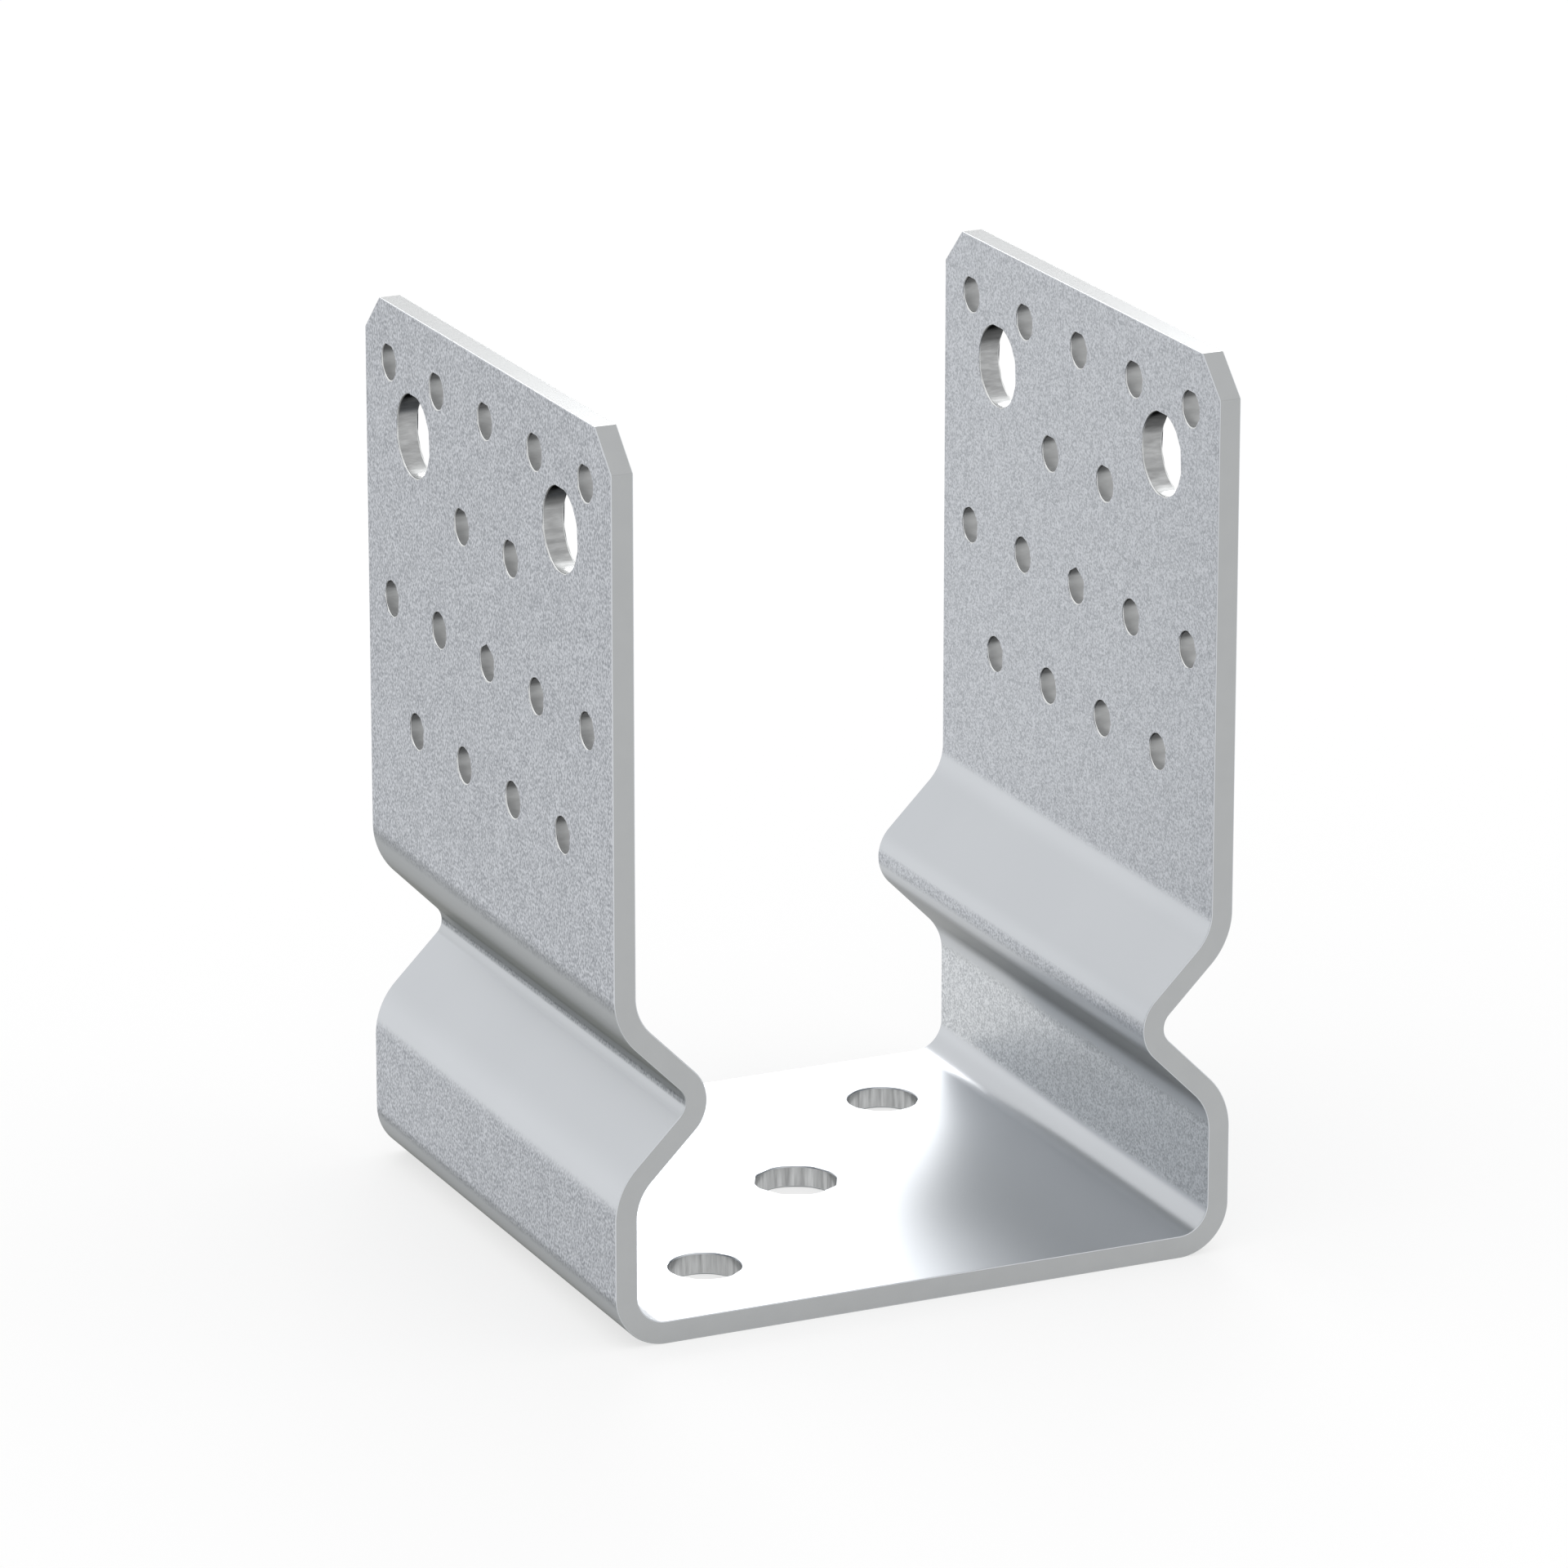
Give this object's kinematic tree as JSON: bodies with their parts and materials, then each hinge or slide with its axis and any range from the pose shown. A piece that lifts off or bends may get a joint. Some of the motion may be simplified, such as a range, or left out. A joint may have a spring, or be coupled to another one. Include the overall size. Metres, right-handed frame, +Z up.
{
  "type": "post base",
  "caption": "U-shaped post base folded from galvanised sheet, with a V bead across each leg, rows of nail holes, bolt holes and a drilled base.",
  "frame": {"origin": "middle of the underside of the base", "axes": "+Z up along the legs, X across from leg to leg, Y along the width of the sheet strip"},
  "size_m": [0.087, 0.08, 0.12],
  "materials": {
    "galvanised_steel": "zinc-coated rolled sheet with a fine grain, satin"
  },
  "bodies": {
    "root": {"post_base": "galvanised_steel"}
  },
  "joints": []
}
